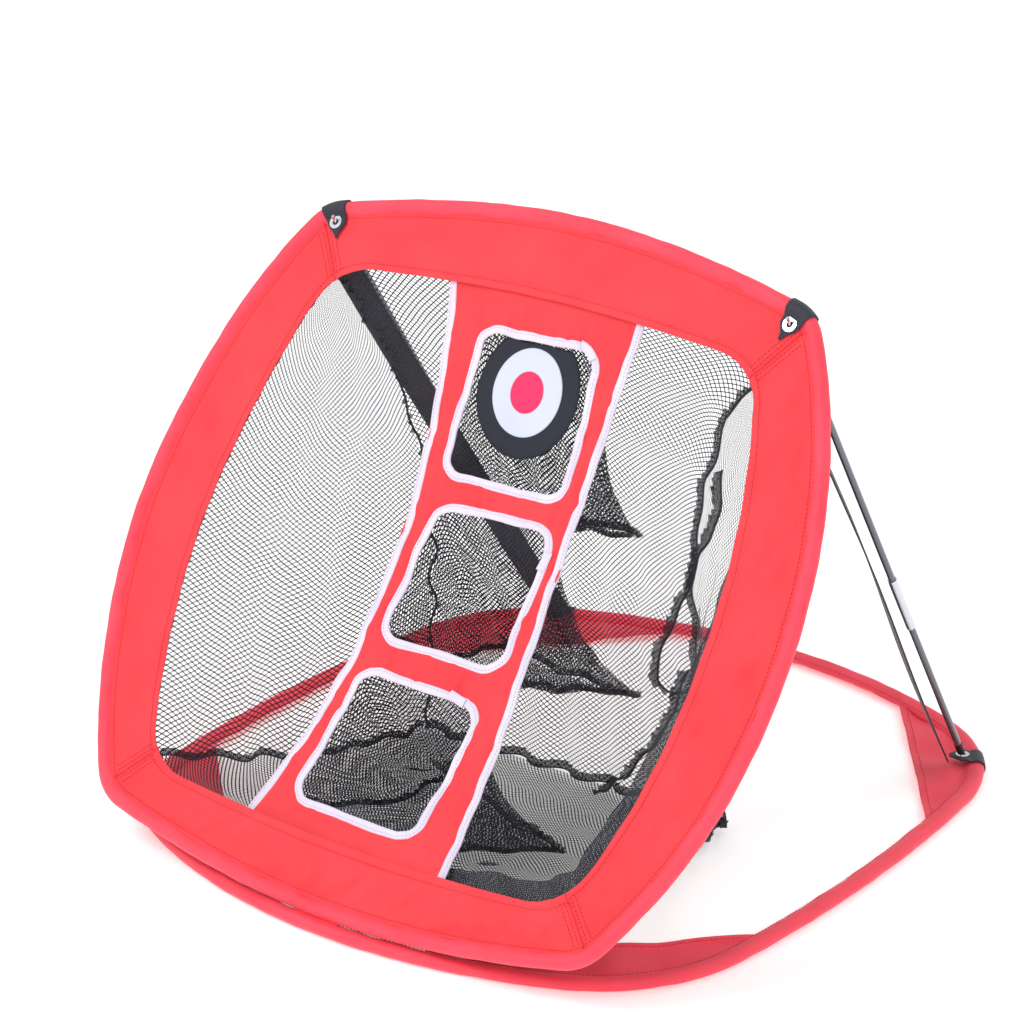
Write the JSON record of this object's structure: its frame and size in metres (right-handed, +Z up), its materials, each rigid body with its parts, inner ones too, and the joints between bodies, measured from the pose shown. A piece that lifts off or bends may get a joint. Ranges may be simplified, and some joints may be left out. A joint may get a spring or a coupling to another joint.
{
  "type": "pop-up golf chipping net",
  "caption": "Leaning sprung-hoop panel with a target strip, windows, catch pockets and a bullseye flap, held up over a flat sprung base hoop by corner poles and straps.",
  "frame": {"origin": "on the ground under the middle of the base hoop", "axes": "+Z up, -Y towards the player in front of the panel, +X to the right seen from the front; the panel folds about an axis along X at the front edge"},
  "size_m": [0.6799, 0.7118, 0.5283],
  "materials": {
    "red_cloth": "plain woven polyester, slight sheen",
    "black_webbing": "flat woven webbing",
    "black_net": "knitted diamond mesh",
    "white_binding": "folded tape, stitched",
    "target_black": "printed cloth",
    "target_white": "printed cloth",
    "target_pink": "printed cloth",
    "spring_wire": "oiled spring steel",
    "plated_metal": "nickel plated",
    "ferrule_metal": "drawn tube",
    "rod_fibreglass": "smooth resin rod",
    "cap_plastic": "moulded",
    "elastic_cord": "braided elastic"
  },
  "bodies": {
    "base": {"base_hoop_wire": "spring_wire", "base_hoop_sleeve": "red_cloth", "base_gusset_rear_right": "red_cloth", "base_gusset_rear_left": "red_cloth", "base_gusset_front_right": "red_cloth", "base_gusset_front_left": "red_cloth", "front_hinge_patch": "red_cloth", "base_left_tab": "black_webbing", "base_right_tab": "black_webbing"},
    "panel": {"panel_hoop_wire": "spring_wire", "panel_hoop_sleeve": "red_cloth", "panel_border_top": "red_cloth", "panel_border_bottom": "red_cloth", "panel_border_left": "red_cloth", "panel_border_right": "red_cloth", "net_edge_tape": "black_net", "target_strip": "red_cloth", "strip_binding_left": "white_binding", "strip_binding_right": "white_binding", "window_binding_upper": "white_binding", "window_binding_middle": "white_binding", "window_binding_lower": "white_binding", "catch_pocket_upper": "black_net", "catch_pocket_middle": "black_net", "catch_pocket_lower": "black_net", "net_curtain": "black_net", "net_floor": "black_net", "net_side_left": "black_net", "net_side_right": "black_net", "panel_left_tab": "black_webbing", "panel_right_tab": "black_webbing", "panel_left_eyelet": "plated_metal", "panel_right_eyelet": "plated_metal", "panel_left_pin": "plated_metal", "panel_right_pin": "plated_metal", "strap_left": "black_webbing", "strap_right": "black_webbing"},
    "flap": {"target_disc": "target_black", "target_ring": "target_white", "target_bullseye": "target_pink"},
    "pole_left": {"pole_left_foot_cap": "cap_plastic", "pole_left_lower_rod": "rod_fibreglass", "pole_left_upper_rod": "rod_fibreglass", "pole_left_ferrule": "ferrule_metal", "pole_left_shock_cord": "elastic_cord", "pole_left_foot_pin": "plated_metal", "base_left_eyelet": "plated_metal"},
    "pole_right": {"pole_right_foot_cap": "cap_plastic", "pole_right_lower_rod": "rod_fibreglass", "pole_right_upper_rod": "rod_fibreglass", "pole_right_ferrule": "ferrule_metal", "pole_right_shock_cord": "elastic_cord", "pole_right_foot_pin": "plated_metal", "base_right_eyelet": "plated_metal"}
  },
  "joints": [
    {"name": "panel_fold", "type": "hinge", "parent": "base", "child": "panel", "pos_m": [0, -0.3424, 0.0172], "axis": [1, 0, 0], "range_deg": [-42, 0], "deforming": ["strap_left", "strap_right", "net_curtain", "net_floor", "net_side_left", "net_side_right", "catch_pocket_upper", "catch_pocket_middle", "catch_pocket_lower", "panel_left_tab", "panel_right_tab"]},
    {"name": "pole_left_swing", "type": "hinge", "parent": "base", "child": "pole_left", "pos_m": [-0.21991, 0.28542, 0.0131], "axis": [1, 0, 0], "range_deg": [-105, 0], "deforming": ["base_left_tab"]},
    {"name": "pole_right_swing", "type": "hinge", "parent": "base", "child": "pole_right", "pos_m": [0.2665, 0.24272, 0.0131], "axis": [1, 0, 0], "range_deg": [-105, 0], "deforming": ["base_right_tab"]},
    {"name": "flap_swing", "type": "hinge", "parent": "panel", "child": "flap", "pos_m": [0, -0.04742, 0.42734], "axis": [1, 0, 0], "range_deg": [0, 20], "stiffness_Nm_per_rad": 0.03, "springref_deg": -8.59}
  ],
  "couplings": [
    {"joint": "pole_left_swing", "follows": "panel_fold", "ratio": 2.5},
    {"joint": "pole_right_swing", "follows": "panel_fold", "ratio": 2.5}
  ]
}
